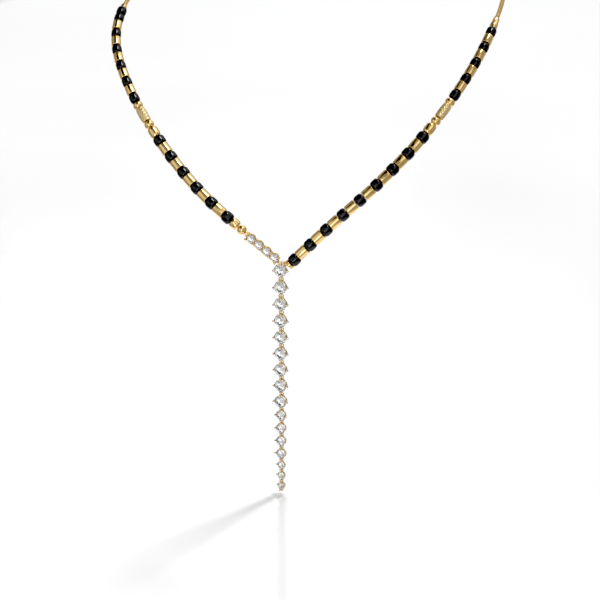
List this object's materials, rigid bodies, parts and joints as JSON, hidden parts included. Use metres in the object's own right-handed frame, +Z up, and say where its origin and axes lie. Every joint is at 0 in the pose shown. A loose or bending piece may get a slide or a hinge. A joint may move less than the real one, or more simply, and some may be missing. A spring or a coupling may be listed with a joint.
{
  "type": "mangalsutra necklace",
  "caption": "Y-shaped gold mangalsutra: black beads and gold tubes on both strings, a stone bar on one side and a long stone-set drop, on a fine snake chain",
  "frame": {"origin": "the nape, the middle of the clasp, where the necklace hangs", "axes": "+X to the right of someone who looks at the wearer, +Y to the back of the neck, +Z up"},
  "size_m": [0.1003, 0.1254, 0.1555],
  "materials": {
    "polished_gold": "polished yellow gold",
    "snake_chain": "fine snake chain of yellow gold",
    "textured_gold": "satin yellow gold with a fine cut pattern",
    "black_beads": "glossy opaque black glass",
    "white_stones": "clear faceted round brilliants"
  },
  "bodies": {
    "neck": {"chain_left": "snake_chain", "chain_right": "snake_chain", "chain_end_left": "polished_gold", "chain_end_right": "polished_gold", "clasp": "polished_gold", "end_cap_left": "polished_gold", "end_cap_right": "polished_gold", "strand_wire_left": "polished_gold", "strand_wire_right": "polished_gold", "black_beads_left": "black_beads", "black_beads_right": "black_beads", "gold_tubes_left": "polished_gold", "gold_tubes_right": "polished_gold", "textured_tube_left": "textured_gold", "textured_tube_right": "textured_gold", "gold_balls_left": "polished_gold", "gold_balls_right": "polished_gold", "gold_barrel_left": "polished_gold", "gold_barrel_right": "polished_gold", "round_bead": "polished_gold", "barrel_bead": "polished_gold", "rondelle": "polished_gold", "diamond_bar": "polished_gold", "bar_stone_1": "white_stones", "bar_stone_2": "white_stones", "bar_stone_3": "white_stones", "bar_stone_4": "white_stones", "drop_setting_1": "polished_gold", "drop_stone_1": "white_stones"},
    "drop": {"drop_setting_2": "polished_gold", "drop_setting_3": "polished_gold", "drop_setting_4": "polished_gold", "drop_setting_5": "polished_gold", "drop_setting_6": "polished_gold", "drop_setting_7": "polished_gold", "drop_setting_8": "polished_gold", "drop_setting_9": "polished_gold", "drop_setting_10": "polished_gold", "drop_setting_11": "polished_gold", "drop_setting_12": "polished_gold", "drop_setting_13": "polished_gold", "drop_setting_14": "polished_gold", "drop_setting_15": "polished_gold", "drop_setting_16": "polished_gold", "drop_stone_2": "white_stones", "drop_stone_3": "white_stones", "drop_stone_4": "white_stones", "drop_stone_5": "white_stones", "drop_stone_6": "white_stones", "drop_stone_7": "white_stones", "drop_stone_8": "white_stones", "drop_stone_9": "white_stones", "drop_stone_10": "white_stones", "drop_stone_11": "white_stones", "drop_stone_12": "white_stones", "drop_stone_13": "white_stones", "drop_stone_14": "white_stones", "drop_stone_15": "white_stones", "drop_stone_16": "white_stones"}
  },
  "joints": [
    {"name": "drop_swing", "type": "hinge", "parent": "neck", "child": "drop", "pos_m": [0, -0.122, -0.09416], "axis": [0, 1, 0], "range_deg": [-45, 45]}
  ]
}
